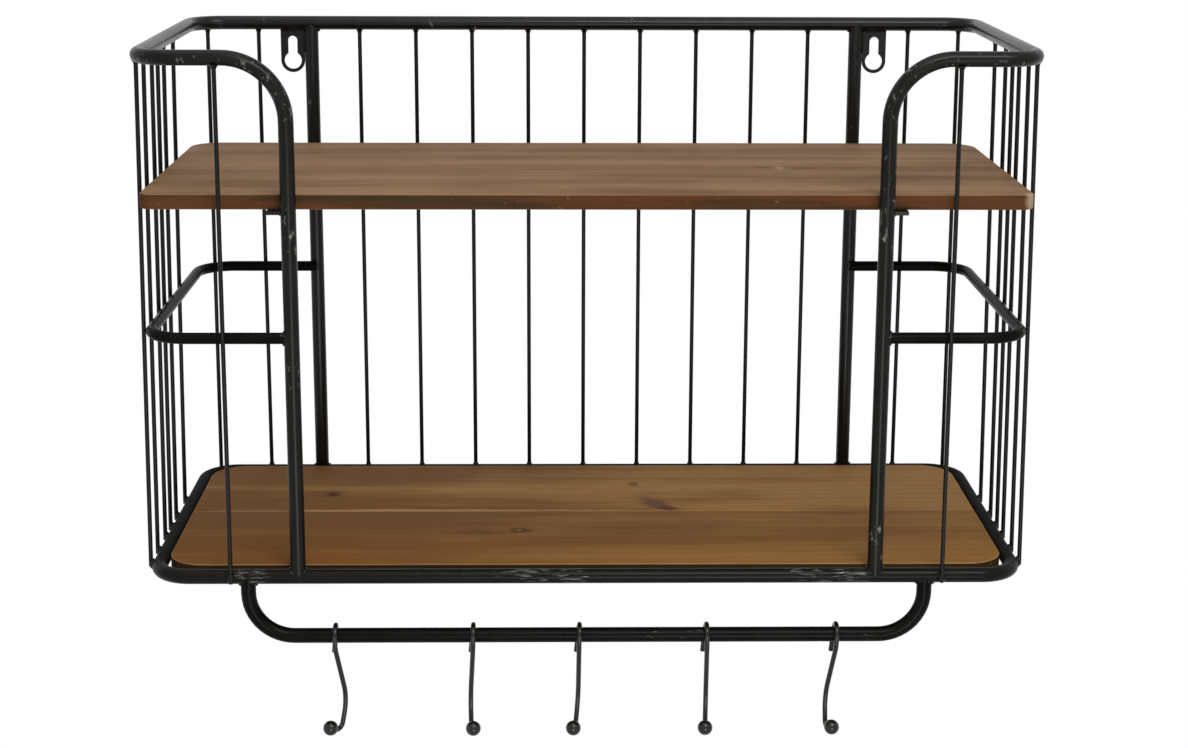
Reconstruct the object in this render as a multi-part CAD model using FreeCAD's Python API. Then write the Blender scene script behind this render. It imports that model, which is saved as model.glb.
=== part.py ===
"""Wall-hung wire rack with two wooden shelves and a rail of sliding hooks.

Frame: X runs along the wall, +Y points into the wall, so the open front faces -Y, and +Z is up.
The origin is midway between the two keyholes, on the back face of their plates. Millimetres.
"""
import FreeCAD, Part
import math
import os
from FreeCAD import Vector

os.makedirs("parts", exist_ok=True)

# Overall sizes
outer_width = 700.0
rim_depth = 280.0          # between the centre lines of the front and back tubes
rim_height = 412.0         # between the centre lines of the top and bottom rims

# Tubes and wires
tube_d = 12.0
tube_wall = 1.2
hoop_d = 9.0
hoop_wall = 1.0
rail_d = 12.0
rail_wall = 1.2
wire_d = 3.5
weld_gap = 0.15            # left between two pieces where the weld joins them
rim_corner_r = 28.0
rim_seam_setback = 6.0     # butt joint of rim and front post, measured from the corner bend

# Front posts, hoops and hook rail
front_post_setback = 114.5  # from the rim's side
front_bend_r = 48.0
hoop_drop = 217.5          # below the top rim
hoop_corner_r = 30.0
rail_drop = 50.0           # below the bottom rim
rail_leg_setback = 74.5    # from the rim's side
rail_bend_r = 36.0

# Wires of the cage
back_wire_count = 9
post_wire_gap = 42.35      # from a back post in to the nearest wire
outer_wire_gap = 46.5      # from a back post out to the nearest wire
front_wire_lead = 4.5      # front wire, measured from the start of the front bend
side_wire_lead = 2.0       # first side wire, measured from the front corner bend
side_wire_rest = 61.0      # last side wire, measured from the back corner bend
side_wire_strays = (0.0, -2.0, 0.0, -7.0, -12.0, 0.0)  # of each side wire from its even place
corner_wire_turn = 60.0    # degrees round the back corner bend, from the side
wire_head_out = 2.5        # top of an end wire outside the top rim's centre line
wire_tip_drop = 2.0        # how far the end wires reach below the bottom rim's centre line

# Keyhole plates
plate_t = 2.0
plate_w = 21.0
keyhole_r = 7.5
keyhole_slot_w = 8.0
keyhole_rise = 17.5        # from the entry hole up to the end of the slot
keyhole_drop = 33.0        # entry hole below the top rim
keyhole_setback = 87.0     # entry hole from the rim's side

# Shelves and what carries them
board_t = 12.0
board_gap = 0.5            # between a board and the steel beside it
upper_board_drop = 105.3   # top face of the upper board below the top rim
upper_back_corner_r = 25.0
upper_front_corner_r = 10.0
lower_board_rise = 1.3     # top face of the planks above the bottom rim
lower_board_gap = 1.5
lower_corner_r = 30.0
front_plank_w = 133.0
plank_gap = 0.6
bar_w = 12.0
bar_t = 3.0
lower_bar_setback = 174.0  # from the rim's side
screw_d = 3.5
screw_head_d = 7.0
screw_head_h = 2.0
screw_bite = 8.0           # length of screw inside the board
screw_clearance = 0.1
screw_inset = 34.0         # from a board's front or back edge

# Hooks
hook_wire_d = 4.0
eye_clearance = 0.3
hook_tail = 17.5
hook_tail_stray = 2.5      # tail's end to the left of the shank
hook_neck = 8.0
hook_neck_r = 30.0
hook_swell = 12.3          # how far the shank's middle lies behind its top
hook_swell_drop = 54.0
hook_swell_r = 45.0
hook_toe = 4.8             # how far the shank's foot lies behind its top
hook_toe_drop = 80.5
hook_toe_r = 6.0
hook_reach = 7.2           # ball in front of the shank's top
hook_ball_drop = 73.5
ball_d = 12.0
ball_fit = 0.05
hook_end_gap = 33.5        # from the rail's bend to the outermost hooks' even places
hook_strays = (-1.0, 9.0, -6.0, -4.0, 0.0)   # where each hook was left, from its even place
hook_turns = (38.0, -9.0, 9.0, 4.0, -15.0)   # degrees about the vertical, positive opens to the left
hook_leans = (0.0, 1.0, 3.0, 0.5, 4.0)       # degrees that each shank leans to the left

# Derived places
tube_r = tube_d / 2
wire_r = wire_d / 2
hoop_r = hoop_d / 2
rail_r = rail_d / 2
hook_wire_r = hook_wire_d / 2
rim_x = outer_width / 2 - tube_r
y_back = -plate_t / 2
y_front = y_back - rim_depth
z_top = keyhole_drop
z_bottom = z_top - rim_height
z_hoop = z_top - hoop_drop
z_rail = z_bottom - rail_drop
wall_hole_spacing = 2 * (rim_x - keyhole_setback)
keyhole_x = wall_hole_spacing / 2
back_post_x = keyhole_x - plate_w / 2 - weld_gap - tube_r
front_post_x = rim_x - front_post_setback
rail_leg_x = rim_x - rail_leg_setback
lower_bar_x = rim_x - lower_bar_setback
outer_back_wire_x = back_post_x + outer_wire_gap
back_wire_pitch = 2 * (back_post_x - post_wire_gap) / (back_wire_count - 1)
front_wire_x = front_post_x + front_bend_r + front_wire_lead
wire_foot_out = tube_r + wire_r + weld_gap
wire_foot_z = z_bottom - wire_tip_drop
wire_head_z = z_top - math.sqrt(tube_r ** 2 - (wire_head_out - wire_r) ** 2) - weld_gap
hoop_inset = wire_r + hoop_r + weld_gap
hook_pitch = 2 * (rail_leg_x - rail_bend_r - hook_end_gap) / (len(hook_strays) - 1)
SIDES = (("left", -1), ("right", 1))


def save(name, shape):
    shape.exportStep("parts/" + name + ".step")


def bent_path(points, radii):
    """Straight runs through the points, with a tangent arc of the given radius at each inner point."""
    edges = []
    here = points[0]
    for before, corner, after, radius in zip(points, points[1:], points[2:], radii):
        to_before = (before - corner).normalize()
        to_after = (after - corner).normalize()
        half_angle = to_before.getAngle(to_after) / 2
        middle_way = (to_before + to_after).normalize()
        tangent = radius / math.tan(half_angle)
        start = corner + to_before * tangent
        end = corner + to_after * tangent
        middle = corner + middle_way * (radius / math.sin(half_angle) - radius)
        if here.distanceToPoint(start) > 1e-6:
            edges.append(Part.LineSegment(here, start).toShape())
        edges.append(Part.Arc(start, middle, end).toShape())
        here = end
    edges.append(Part.LineSegment(here, points[-1]).toShape())
    return Part.Wire(edges)


def rod_along(path, radius):
    """A solid round rod swept along a path."""
    edge = path.Edges[0]
    start = edge.valueAt(edge.FirstParameter)
    direction = edge.tangentAt(edge.FirstParameter)
    section = Part.Wire([Part.makeCircle(radius, start, direction)])
    return path.makePipe(Part.Face(section))


def tube_along(path, radius, wall):
    return rod_along(path, radius).cut(rod_along(path, radius - wall))


def straight_rod(start, end, radius):
    run = end - start
    return Part.makeCylinder(radius, run.Length, start, run)


def straight_tube(start, end, radius, wall):
    return straight_rod(start, end, radius).cut(straight_rod(start, end, radius - wall))


def rounded_board(x_half, y_low, y_high, z_low, thickness, front_r, back_r):
    """A flat board with its own corner radius at the front and at the back."""
    board = Part.makeBox(2 * x_half, y_high - y_low, thickness, Vector(-x_half, y_low, z_low))
    for corner_y, radius in ((y_low, front_r), (y_high, back_r)):
        edges = [
            edge
            for edge in board.Edges
            if abs(edge.Vertexes[0].Y - corner_y) < 1e-6
            and abs(edge.Vertexes[-1].Y - corner_y) < 1e-6
            and edge.BoundBox.ZLength > thickness / 2
        ]
        if radius > 0:
            board = board.makeFillet(radius, edges)
    return board


# Space that each straight tube takes, with the weld gap round it, to cope the pieces that meet it
def cope(start, end, radius):
    return straight_rod(start, end, radius + weld_gap)


front_tube_cope = cope(Vector(-rim_x, y_front, z_bottom), Vector(rim_x, y_front, z_bottom), tube_r)
lower_back_cope = cope(Vector(-rim_x, y_back, z_bottom), Vector(rim_x, y_back, z_bottom), tube_r)
upper_back_cope = cope(Vector(-rim_x, y_back, z_top), Vector(rim_x, y_back, z_top), tube_r)


def make_top_rim():
    """Two sides and the back of the upper rim, open at the front."""
    seam_y = y_front + rim_corner_r + rim_seam_setback + weld_gap
    corners = [
        Vector(-rim_x, seam_y, z_top),
        Vector(-rim_x, y_back, z_top),
        Vector(rim_x, y_back, z_top),
        Vector(rim_x, seam_y, z_top),
    ]
    return tube_along(bent_path(corners, [rim_corner_r] * 2), tube_r, tube_wall)


def make_front_post(side):
    """From the rim's butt joint round the front corner, inward, and down to the lower rim."""
    corners = [
        Vector(side * rim_x, y_front + rim_corner_r + rim_seam_setback, z_top),
        Vector(side * rim_x, y_front, z_top),
        Vector(side * front_post_x, y_front, z_top),
        Vector(side * front_post_x, y_front, z_bottom),
    ]
    post = tube_along(bent_path(corners, [rim_corner_r, front_bend_r]), tube_r, tube_wall)
    return post.cut(front_tube_cope)


def make_bottom_rim():
    """One tube bent into a closed loop, with its ends butted at the middle of the back."""
    corners = [
        Vector(weld_gap / 2, y_back, z_bottom),
        Vector(rim_x, y_back, z_bottom),
        Vector(rim_x, y_front, z_bottom),
        Vector(-rim_x, y_front, z_bottom),
        Vector(-rim_x, y_back, z_bottom),
        Vector(-weld_gap / 2, y_back, z_bottom),
    ]
    return tube_along(bent_path(corners, [rim_corner_r] * 4), tube_r, tube_wall)


def make_back_post(side):
    top = Vector(side * back_post_x, y_back, z_top)
    foot = Vector(side * back_post_x, y_back, z_bottom)
    post = straight_tube(foot, top, tube_r, tube_wall)
    return post.cut(upper_back_cope).cut(lower_back_cope)


def front_post_cope(side):
    top = Vector(side * front_post_x, y_front, z_top - front_bend_r)
    return cope(Vector(side * front_post_x, y_front, z_bottom), top, tube_r)


def back_post_cope(side):
    top = Vector(side * back_post_x, y_back, z_top)
    return cope(Vector(side * back_post_x, y_back, z_bottom), top, tube_r)


def wire_out(z):
    """How far outside the rim's centre line the end wires run at a height."""
    share = (wire_head_z - z) / (wire_head_z - wire_foot_z)
    return wire_head_out + share * (wire_foot_out - wire_head_out)


def make_side_hoop(side):
    """C-shaped hoop at mid height, inside the wires, from the back post round to the front post."""
    hoop_x = rim_x + wire_out(z_hoop) - hoop_inset
    back_run_y = y_back - hoop_inset
    front_run_y = y_front - wire_out(z_hoop) + hoop_inset
    corners = [
        Vector(side * back_post_x, back_run_y, z_hoop),
        Vector(side * hoop_x, back_run_y, z_hoop),
        Vector(side * hoop_x, front_run_y, z_hoop),
        Vector(side * front_post_x, front_run_y, z_hoop),
    ]
    hoop = tube_along(bent_path(corners, [hoop_corner_r] * 2), hoop_r, hoop_wall)
    return hoop.cut(back_post_cope(side)).cut(front_post_cope(side))


def make_hook_rail():
    corners = [
        Vector(-rail_leg_x, y_front, z_bottom),
        Vector(-rail_leg_x, y_front, z_rail),
        Vector(rail_leg_x, y_front, z_rail),
        Vector(rail_leg_x, y_front, z_bottom),
    ]
    rail = tube_along(bent_path(corners, [rail_bend_r] * 2), rail_r, rail_wall)
    return rail.cut(front_tube_cope)


def make_keyhole_plate(side):
    """Flat plate with a round foot, an entry hole and a narrower slot above it."""
    top = z_top - tube_r - weld_gap
    x = side * keyhole_x
    slot_r = keyhole_slot_w / 2

    def disc(radius, z):
        return Part.makeCylinder(radius, plate_t, Vector(x, -plate_t, z), Vector(0, 1, 0))

    plate = Part.makeBox(plate_w, plate_t, top, Vector(x - plate_w / 2, -plate_t, 0))
    plate = plate.fuse(disc(plate_w / 2, 0))
    slot = Part.makeBox(keyhole_slot_w, plate_t, keyhole_rise, Vector(x - slot_r, -plate_t, 0))
    keyhole = disc(keyhole_r, 0).fuse(slot).fuse(disc(slot_r, keyhole_rise))
    return plate.cut(keyhole).removeSplitter()


def end_wire_places():
    """Point and outward way on the right end of the rim for each end wire, from the front one round."""
    side_run = rim_depth - 2 * rim_corner_r - side_wire_lead - side_wire_rest
    first_y = y_front + rim_corner_r + side_wire_lead
    places = [(Vector(front_wire_x, y_front, 0), Vector(0, -1, 0))]
    for number, stray in enumerate(side_wire_strays):
        y = first_y + number * side_run / (len(side_wire_strays) - 1) + stray
        places.append((Vector(rim_x, y, 0), Vector(1, 0, 0)))
    angle = math.radians(corner_wire_turn)
    out = Vector(math.cos(angle), math.sin(angle), 0)
    bend_centre = Vector(rim_x - rim_corner_r, y_back - rim_corner_r, 0)
    places.append((bend_centre + out * rim_corner_r, out))
    return places


def make_standing_wire(x):
    """A wire of the back, standing between the two back tubes."""
    foot = Vector(x, y_back, z_bottom + tube_r + weld_gap)
    top = Vector(x, y_back, z_top - tube_r - weld_gap)
    return straight_rod(foot, top, wire_r)


def make_leaning_wire(side, place, out):
    """A wire of the rack's end: its top under the upper rim, its foot outside the lower rim."""
    foot = place + out * wire_foot_out + Vector(0, 0, wire_foot_z)
    top = place + out * wire_head_out + Vector(0, 0, wire_head_z)
    mirrored = [Vector(side * point.x, point.y, point.z) for point in (foot, top)]
    return straight_rod(mirrored[0], mirrored[1], wire_r)


def screw_from_below(x, y, z_under_bar):
    """A pan-head screw up through a bar into the board."""
    head = Part.makeCylinder(screw_head_d / 2, screw_head_h, Vector(x, y, z_under_bar - screw_head_h))
    shank = Part.makeCylinder(screw_d / 2, bar_t + screw_bite, Vector(x, y, z_under_bar))
    return head.fuse(shank)


def screw_hole(x, y, z_under_bar):
    depth = bar_t + screw_bite + screw_clearance
    return Part.makeCylinder(screw_d / 2 + screw_clearance, depth, Vector(x, y, z_under_bar))


def cut_all(shape, tools):
    for tool in tools:
        shape = shape.cut(tool)
    return shape


def make_upper_shelf():
    """The upper board, the two flat bars under it and their screws."""
    board_top = z_top - upper_board_drop
    board_low = board_top - board_t
    bar_low = board_low - bar_t
    y_low = y_front + tube_r + board_gap
    y_high = y_back - tube_r - board_gap
    board_x = rim_x + wire_out(board_top) - wire_r - board_gap
    board = rounded_board(
        board_x, y_low, y_high, board_low, board_t, upper_front_corner_r, upper_back_corner_r
    )
    screw_ys = (y_low + screw_inset, y_high - screw_inset)
    spots = [(side * back_post_x, y) for _, side in SIDES for y in screw_ys]
    holes = [screw_hole(x, y, bar_low) for x, y in spots]
    save("upper_board", cut_all(board, holes))
    bar_end = y_back - tube_r - weld_gap
    for name, side in SIDES:
        low = Vector(side * back_post_x - bar_w / 2, y_front, bar_low)
        bar = Part.makeBox(bar_w, bar_end - y_front, bar_t, low)
        save("upper_support_" + name, cut_all(bar.cut(front_post_cope(side)), holes))
    save("upper_board_screws", Part.Compound([screw_from_below(x, y, bar_low) for x, y in spots]))


def make_lower_shelf():
    """Two planks inside the lower rim, on two flat bars welded between its front and back tubes."""
    bar_top = z_bottom + tube_r + lower_board_rise - board_t
    bar_low = bar_top - bar_t
    bar_inset = math.sqrt(max(0, (tube_r + weld_gap) ** 2 - (z_bottom - bar_top) ** 2))
    inset = tube_r + lower_board_gap
    y_low = y_front + inset
    y_high = y_back - inset
    joint_y = y_low + front_plank_w
    board_x = rim_x - inset
    planks = {
        "lower_board_front": (y_low, joint_y - plank_gap / 2, lower_corner_r, 0),
        "lower_board_back": (joint_y + plank_gap / 2, y_high, 0, lower_corner_r),
    }
    spots = []
    for plank_low, plank_high, _, _ in planks.values():
        for y in (plank_low + screw_inset, plank_high - screw_inset):
            spots += [(side * lower_bar_x, y) for _, side in SIDES]
    holes = [screw_hole(x, y, bar_low) for x, y in spots]
    for name, (plank_low, plank_high, front_r, back_r) in planks.items():
        plank = rounded_board(board_x, plank_low, plank_high, bar_top, board_t, front_r, back_r)
        save(name, cut_all(plank, holes))
    for name, side in SIDES:
        low = Vector(side * lower_bar_x - bar_w / 2, y_front + bar_inset, bar_low)
        bar = Part.makeBox(bar_w, rim_depth - 2 * bar_inset, bar_t, low)
        save("lower_support_" + name, cut_all(bar, holes))
    save("lower_board_screws", Part.Compound([screw_from_below(x, y, bar_low) for x, y in spots]))


def hook_path(x, turn, lean):
    """From the tail behind the rail, over it, down the shank and forward to the ball's centre."""
    eye_r = rail_r + eye_clearance + hook_wire_r
    neck = Vector(x, y_front - eye_r, z_rail)
    angle = math.radians(turn)
    back_way = Vector(math.sin(angle), math.cos(angle), 0)
    down_way = Vector(-math.tan(math.radians(lean)), 0, -1)

    def below(behind, drop):
        return neck + back_way * behind + down_way * drop

    points = [
        Vector(x - hook_tail_stray, y_front + eye_r, z_rail - hook_tail),
        Vector(x, y_front + eye_r, z_rail + eye_r),
        Vector(x, y_front - eye_r, z_rail + eye_r),
        below(0, hook_neck),
        below(hook_swell, hook_swell_drop),
        below(hook_toe, hook_toe_drop),
        below(-hook_reach, hook_ball_drop),
    ]
    return bent_path(points, [eye_r, eye_r, hook_neck_r, hook_swell_r, hook_toe_r])


def make_hook(number, x, turn, lean):
    path = hook_path(x, turn, lean)
    centre = path.Edges[-1].Vertexes[-1].Point
    ball = Part.makeSphere(ball_d / 2, centre)
    save("hook_%d" % number, rod_along(path, hook_wire_r))
    save("hook_ball_%d" % number, ball.cut(rod_along(path, hook_wire_r + ball_fit)))


save("top_rim", make_top_rim())
save("bottom_rim", make_bottom_rim())
save("hook_rail", make_hook_rail())
for name, side in SIDES:
    save("front_post_" + name, make_front_post(side))
    save("back_post_" + name, make_back_post(side))
    save("side_hoop_" + name, make_side_hoop(side))
    save("keyhole_plate_" + name, make_keyhole_plate(side))
    end_wires = [make_leaning_wire(side, place, out) for place, out in end_wire_places()]
    end_wires.append(make_standing_wire(side * outer_back_wire_x))
    for number, wire in enumerate(end_wires):
        save("%s_wire_%d" % (name, number + 1), wire)
for number in range(back_wire_count):
    x = (number - (back_wire_count - 1) / 2) * back_wire_pitch
    save("back_wire_%d" % (number + 1), make_standing_wire(x))
make_upper_shelf()
make_lower_shelf()
for number, (stray, turn, lean) in enumerate(zip(hook_strays, hook_turns, hook_leans)):
    even_place = (number - (len(hook_strays) - 1) / 2) * hook_pitch
    make_hook(number + 1, even_place + stray, turn, lean)
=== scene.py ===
"""Wall rack: the looks of its painted steel, stained boards, welds and screws, with camera, light and floor.

Everything is in metres, in the part's own frame: X along the wall, +Y into the wall, +Z up.
"""

import math

import bmesh
import bpy
from mathutils import Matrix, Vector, noise


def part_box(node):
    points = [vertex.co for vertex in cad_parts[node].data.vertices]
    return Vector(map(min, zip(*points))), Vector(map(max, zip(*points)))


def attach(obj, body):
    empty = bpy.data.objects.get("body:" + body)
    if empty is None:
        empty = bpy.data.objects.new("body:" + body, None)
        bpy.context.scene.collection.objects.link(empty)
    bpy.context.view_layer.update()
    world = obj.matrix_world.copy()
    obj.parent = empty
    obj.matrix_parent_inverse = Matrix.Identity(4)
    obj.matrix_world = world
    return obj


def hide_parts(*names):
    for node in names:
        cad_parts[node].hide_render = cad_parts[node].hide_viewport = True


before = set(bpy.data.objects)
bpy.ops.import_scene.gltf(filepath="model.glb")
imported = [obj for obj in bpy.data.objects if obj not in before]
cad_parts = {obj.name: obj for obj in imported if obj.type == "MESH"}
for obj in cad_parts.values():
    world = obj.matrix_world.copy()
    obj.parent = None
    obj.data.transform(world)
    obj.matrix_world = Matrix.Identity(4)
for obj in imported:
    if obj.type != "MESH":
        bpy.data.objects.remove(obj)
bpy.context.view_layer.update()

MM = 0.001
SIDES = (("left", -1), ("right", 1))
STEEL_BODY = "rack"
HOOK_COUNT = 5
END_WIRE_COUNT = 9
BACK_WIRE_COUNT = 9
X_WAY = Vector((1, 0, 0))
Y_WAY = Vector((0, 1, 0))
Z_WAY = Vector((0, 0, 1))
DOWN = Vector((0, 0, -1))

# Places read from the frame
rim_low, rim_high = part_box("bottom_rim")
tube_r = (rim_high.z - rim_low.z) / 2
rim_x = rim_high.x - tube_r
y_front = rim_low.y + tube_r
y_back = rim_high.y - tube_r
y_middle = (y_front + y_back) / 2
z_bottom = (rim_low.z + rim_high.z) / 2
z_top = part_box("top_rim")[1].z - tube_r
seam_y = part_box("top_rim")[0].y
rail_low, rail_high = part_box("hook_rail")
rail_r = (rail_high.y - rail_low.y) / 2
rail_leg_x = rail_high.x - rail_r
front_post_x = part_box("front_post_right")[0].x + tube_r
post_low, post_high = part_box("back_post_right")
back_post_x = (post_low.x + post_high.x) / 2
hoop_low, hoop_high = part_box("side_hoop_right")
hoop_r = (hoop_high.z - hoop_low.z) / 2
z_hoop = (hoop_low.z + hoop_high.z) / 2
wire_low, wire_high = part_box("back_wire_1")
wire_r = (wire_high.x - wire_low.x) / 2
rack_middle = Vector((0, y_middle, (z_top + z_bottom) / 2))

# Sizes of the boards
EDGE_EASE = 1.3 * MM
EDGE_STEPS = 4
EDGE_STATION = 9 * MM              # spacing of the points along the straight edges
EDGE_WOBBLE = 0.25 * MM
WOBBLE_ALONG = 60                  # waves per metre along the edges, and through the thickness
WOBBLE_THROUGH = 200
CORNER_STEPS = 14
UPPER_FRONT_R = 10 * MM
UPPER_BACK_R = 25 * MM
LOWER_R = 30 * MM
SQUARE_R = EDGE_EASE + 0.2 * MM    # corners at the joint between the planks

# Sizes of the keyhole plates
KEYHOLE_R = 7.5 * MM
KEYHOLE_SLOT_W = 8 * MM
KEYHOLE_RISE = 17.5 * MM
PLATE_BEVEL = 0.35 * MM
BEVEL_STEPS = 2
ARC_STEPS = 28

# Sizes of the welds
POST_BEAD = 1.5 * MM
HOOP_BEAD = 1.2 * MM
BAR_BEAD = 1.2 * MM
PLATE_BEAD = 1.1 * MM
PLATE_BEAD_FOOT = 0.25             # where it ends, as a share of the plate's height above the hole
SEAM_BEAD = 0.75 * MM
SEAM_SINK = 0.35 * MM
PLUG_SHARE = 0.97                  # of the hoop's radius, closing its open end
PLUG_HALF_DEPTH = 1.6 * MM
COLLAR_HEIGHT = 4.5 * MM
COLLAR_FLARE = 2.0 * MM
COLLAR_SINK = 1.2 * MM             # the collar starts inside the tube
FOOT_LUMP = 2.6 * MM               # towards the tube; along it and upright, the lump is longer
FOOT_LUMP_ALONG = 3.6 * MM
FOOT_LUMP_HEIGHT = 4.6 * MM
BEAD_SIDES = 10
COLLAR_SIDES = 14
COLLAR_LEVELS = 7

# Sizes of the screws
SCREW_HEAD_R = 3.5 * MM
SCREW_HEAD_H = 2 * MM
SCREW_SHANK_R = 1.75 * MM
SCREW_TIP_FROM = 0.85              # share of the shank's length where its tip begins
DOME_SHARE = 0.75                  # of the head's height
DOME_POWER = 0.8                   # fuller than a round dome
RECESS_SHARE = 0.2                 # width of the recess, of the head's radius
SCREW_SIDES = 32
DOME_STEPS = 8
MERGE_DISTANCE = 0.001 * MM        # below it, two points of a mesh are one

# Angles in degrees above which an edge is shaded sharp
BOARD_SHARP = 40
WELD_SHARP = 60
METAL_SHARP = 35

# Places of a mix node's colour sockets, behind those for numbers and vectors
MIX_FIRST = 6
MIX_SECOND = 7
MIX_RESULT = 2


def numbered(stem, count):
    """The names stem_1, stem_2 and so on."""
    return ["%s_%d" % (stem, number + 1) for number in range(count)]


def srgb(red, green, blue):
    """Linear colour, with alpha, of an 8-bit screen colour."""
    def linear(value):
        share = value / 255
        return share / 12.92 if share <= 0.04045 else ((share + 0.055) / 1.055) ** 2.4

    return (linear(red), linear(green), linear(blue), 1.0)


class Graph:
    """The node tree of a material or a world, with short calls for the nodes used here."""

    def __init__(self, owner):
        self.owner = owner
        owner.use_nodes = True
        self.tree = owner.node_tree
        self.tree.nodes.clear()

    def add(self, kind, **settings):
        node = self.tree.nodes.new(kind)
        for key, value in settings.items():
            setattr(node, key, value)
        return node

    def feed(self, socket, value):
        """Link an output into a socket, or set a constant on it."""
        if isinstance(value, bpy.types.NodeSocket):
            self.tree.links.new(value, socket)
        else:
            socket.default_value = value

    def math(self, operation, *values, clamp=False):
        node = self.add("ShaderNodeMath", operation=operation, use_clamp=clamp)
        for socket, value in zip(node.inputs, values):
            self.feed(socket, value)
        return node.outputs[0]

    def plus(self, first, second, clamp=False):
        return self.math("ADD", first, second, clamp=clamp)

    def minus(self, first, second):
        return self.math("SUBTRACT", first, second)

    def times(self, first, second):
        return self.math("MULTIPLY", first, second)

    def length(self, x, y):
        """How far a place in a plane is from its zero."""
        return self.math("SQRT", self.plus(self.times(x, x), self.times(y, y)))

    def coordinates(self, kind):
        split = self.add("ShaderNodeSeparateXYZ")
        self.feed(split.inputs[0], self.add("ShaderNodeTexCoord").outputs[kind])
        return tuple(split.outputs)

    def position(self):
        """The place in the part's frame, as X, Y and Z."""
        return self.coordinates("Object")

    def normal(self):
        """The surface's direction, as X, Y and Z."""
        return self.coordinates("Normal")

    def noise(self, place, per_metre, detail=2.0, roughness=0.5):
        """Noise from 0 to 1 with its own number of features per metre along each axis."""
        join = self.add("ShaderNodeCombineXYZ")
        for socket, part, count in zip(join.inputs, place, per_metre):
            self.feed(socket, self.times(part, count))
        node = self.add("ShaderNodeTexNoise")
        self.feed(node.inputs["Vector"], join.outputs[0])
        self.feed(node.inputs["Scale"], 1.0)
        self.feed(node.inputs["Detail"], detail)
        self.feed(node.inputs["Roughness"], roughness)
        return node.outputs[0]

    def ease(self, value, low, high):
        """Smoothly from 0 at low to 1 at high."""
        node = self.add("ShaderNodeMapRange", interpolation_type="SMOOTHSTEP")
        self.feed(node.inputs["Value"], value)
        self.feed(node.inputs["From Min"], low)
        self.feed(node.inputs["From Max"], high)
        return node.outputs[0]

    def scale(self, value, low, high):
        """From 0..1 to low..high."""
        node = self.add("ShaderNodeMapRange")
        self.feed(node.inputs["Value"], value)
        self.feed(node.inputs["To Min"], low)
        self.feed(node.inputs["To Max"], high)
        return node.outputs[0]

    def mix(self, factor, first, second):
        """From the first colour at factor 0 to the second at 1."""
        node = self.add("ShaderNodeMix", data_type="RGBA")
        self.feed(node.inputs["Factor"], factor)
        self.feed(node.inputs[MIX_FIRST], first)
        self.feed(node.inputs[MIX_SECOND], second)
        return node.outputs[MIX_RESULT]

    def bump(self, height, distance, strength, after=None):
        """The surface's direction with a relief on it, on top of an earlier relief if there is one."""
        node = self.add("ShaderNodeBump")
        self.feed(node.inputs["Height"], height)
        self.feed(node.inputs["Distance"], distance)
        self.feed(node.inputs["Strength"], strength)
        if after is not None:
            self.feed(node.inputs["Normal"], after)
        return node.outputs[0]

    def close(self, shader, kind="ShaderNodeOutputMaterial"):
        """End the graph with a shader, and return the material or world."""
        self.feed(self.add(kind).inputs["Surface"], shader.outputs[0])
        return self.owner

    def finish(self, **inputs):
        """End the graph with one surface shader, its inputs named with underscores."""
        shader = self.add("ShaderNodeBsdfPrincipled")
        for key, value in inputs.items():
            self.feed(shader.inputs[key.replace("_", " ")], value)
        return self.close(shader)


def new_graph(name):
    return Graph(bpy.data.materials.new(name))


# Painted steel
PRIMER_TONES = ((60, 60, 58), (102, 102, 99))
BARE_TONE = (124, 124, 121)
COAT_LIFT = 8                # how much paler the coat is where it is mottled
UNWORN_LEVEL = 0.72          # of the scuff noise: above it the paint is chipped off, where nothing is rubbed
WORN_LEVEL = 0.50            # the same where it is rubbed most
CHIP_RAMP = 0.06
BARE_STEP = 0.09             # further up than the chips, the primer is gone as well
BARE_RAMP = 0.04
CHIP_ROUGHNESS = 0.18        # added where the paint is off
CHIP_DEPTH = 0.12 * MM


def paint(
    name,
    grain,
    wear=0.0,
    zones=None,
    dull=None,
    black=(14, 13, 10),
    roughness=0.28,
    gloss=0.13,
    ripple=0.1,
):
    """Black brushed paint, chipped to grey primer and bare steel where it is rubbed.

    grain gives the scuffs per metre along X, Y and Z. wear is the general amount of chipping, or else zones
    returns the amount at each place. dull returns the roughness added where no hand polishes the paint.
    ripple is the height of the brushed waves in millimetres.
    """
    graph = new_graph(name)
    place = graph.position()
    mottle = graph.noise(place, (45, 45, 45), detail=3.0)
    scuff = graph.noise(place, grain, detail=5.0, roughness=0.62)
    grit = graph.noise(place, (900, 900, 900))
    waves = graph.noise(place, (170, 170, 170))

    amount = zones(graph, place) if zones else wear
    chip_level = graph.scale(amount, UNWORN_LEVEL, WORN_LEVEL)
    chip = graph.ease(scuff, chip_level, graph.plus(chip_level, CHIP_RAMP))
    bare_level = graph.plus(chip_level, BARE_STEP)
    bare = graph.ease(scuff, bare_level, graph.plus(bare_level, BARE_RAMP))

    lifted = tuple(value + COAT_LIFT for value in black)
    coat = graph.mix(graph.ease(mottle, 0.3, 0.75), srgb(*black), srgb(*lifted))
    primer = graph.mix(grit, *(srgb(*tone) for tone in PRIMER_TONES))
    colour = graph.mix(bare, graph.mix(chip, coat, primer), srgb(*BARE_TONE))

    uneven = graph.scale(mottle, roughness - 0.07, roughness + 0.09)
    uneven = graph.plus(uneven, graph.times(chip, CHIP_ROUGHNESS))
    if dull:
        uneven = graph.plus(uneven, dull(graph, place))
    surface = graph.bump(waves, ripple * MM, 0.5)
    surface = graph.bump(grit, 0.2 * ripple * MM, 0.6, surface)
    surface = graph.bump(graph.minus(1.0, chip), CHIP_DEPTH, 0.8, surface)
    return graph.finish(
        Base_Color=colour,
        Roughness=uneven,
        Metallic=graph.times(bare, 0.4),
        Specular_IOR_Level=gloss,
        Normal=surface,
    )


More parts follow.
